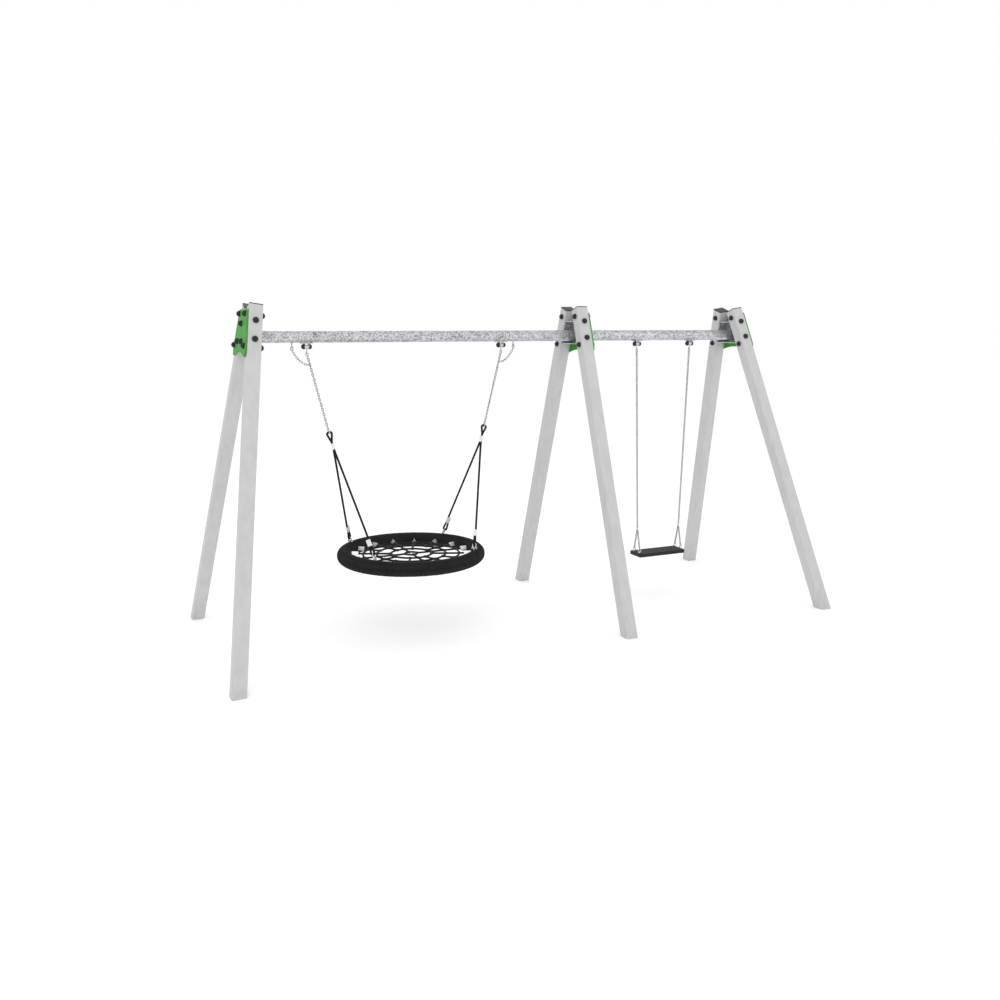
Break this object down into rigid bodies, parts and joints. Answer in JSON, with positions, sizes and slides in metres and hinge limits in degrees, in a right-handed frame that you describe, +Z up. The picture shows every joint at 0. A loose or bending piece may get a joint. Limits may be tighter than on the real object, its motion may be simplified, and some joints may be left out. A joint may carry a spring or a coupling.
{
  "type": "swing set",
  "caption": "Double swing set on three leaning A-frames: a round nest swing with a rope net, and a flat rubber seat on chains",
  "frame": {"origin": "On the ground under the middle of the set, halfway between the two outer frames", "axes": "+X along the top beams from the nest swing towards the flat seat, +Y across the set to the rear legs, +Z up"},
  "size_m": [5.1492, 2.0976, 2.6122],
  "materials": {
    "leg_paint": "satin grey powder coat over galvanised steel",
    "leg_cap_plastic": "moulded dark grey plastic",
    "green_board": "green solid plastic board with a fine grained face",
    "galvanised_steel": "hot dip galvanised, mottled",
    "stainless_steel": "stainless",
    "chain_steel": "galvanised chain",
    "black_plastic": "moulded black plastic",
    "black_rope": "braided polyester rope",
    "pressed_aluminium": "pressed, dull",
    "padding_foam": "hidden foam",
    "seat_rubber": "moulded, fine grain"
  },
  "bodies": {
    "frame": {"beam_nest": "galvanised_steel", "beam_seat": "galvanised_steel", "bracket_left": "galvanised_steel", "bracket_middle": "galvanised_steel", "bracket_right": "galvanised_steel", "frame_bolt_caps": "black_plastic", "frame_bolts": "stainless_steel", "frame_nuts": "stainless_steel", "frame_washers": "stainless_steel", "hanger_nest_left": "galvanised_steel", "hanger_nest_right": "galvanised_steel", "hanger_seat_left": "galvanised_steel", "hanger_seat_right": "galvanised_steel", "leg_caps": "leg_cap_plastic", "leg_left_front": "leg_paint", "leg_left_rear": "leg_paint", "leg_middle_front": "leg_paint", "leg_middle_rear": "leg_paint", "leg_right_front": "leg_paint", "leg_right_rear": "leg_paint", "plate_left": "green_board", "plate_middle": "green_board", "plate_right": "green_board", "pivot_bolts": "stainless_steel", "pivot_nuts": "stainless_steel", "pivot_washers": "stainless_steel", "pivot_caps": "black_plastic", "safety_eyes": "galvanised_steel"},
    "nest_swing": {"bearing_nest_left": "stainless_steel", "bearing_nest_right": "stainless_steel", "bushes_nest": "black_plastic", "chain_nest_left": "chain_steel", "chain_nest_right": "chain_steel", "chain_safety_left": "chain_steel", "chain_safety_right": "chain_steel", "shackles_top": "stainless_steel"},
    "nest_basket": {"rope_left": "black_rope", "rope_right": "black_rope", "rope_sleeves": "pressed_aluminium", "shackles_ring": "stainless_steel", "shackle_pins": "stainless_steel", "ring_lugs": "galvanised_steel", "ring_core": "galvanised_steel", "ring_padding": "padding_foam", "ring_wrap": "black_rope", "net_ropes": "black_rope", "net_knots": "black_plastic", "net_clamps": "pressed_aluminium"},
    "seat_swing": {"bearing_seat_left": "stainless_steel", "bearing_seat_right": "stainless_steel", "bushes_seat": "black_plastic", "chain_seat_left": "chain_steel", "chain_seat_right": "chain_steel", "apex_links": "stainless_steel"},
    "seat": {"chain_spread_left": "chain_steel", "chain_spread_right": "chain_steel", "seat_eyes": "stainless_steel", "seat_insert": "galvanised_steel", "seat_pad": "seat_rubber"}
  },
  "joints": [
    {"name": "nest_swing_joint", "type": "hinge", "parent": "frame", "child": "nest_swing", "pos_m": [-0.94, 0, 2.291], "axis": [1, 0, 0], "range_deg": [-60, 60]},
    {"name": "nest_rock_joint", "type": "hinge", "parent": "nest_swing", "child": "nest_basket", "pos_m": [-0.94, 0, 1.638], "axis": [1, 0, 0], "range_deg": [-25, 25]},
    {"name": "seat_swing_joint", "type": "hinge", "parent": "frame", "child": "seat_swing", "pos_m": [1.448, 0, 2.291], "axis": [1, 0, 0], "range_deg": [-60, 60]},
    {"name": "seat_rock_joint", "type": "hinge", "parent": "seat_swing", "child": "seat", "pos_m": [1.448, 0, 0.628], "axis": [1, 0, 0], "range_deg": [-25, 25]}
  ]
}
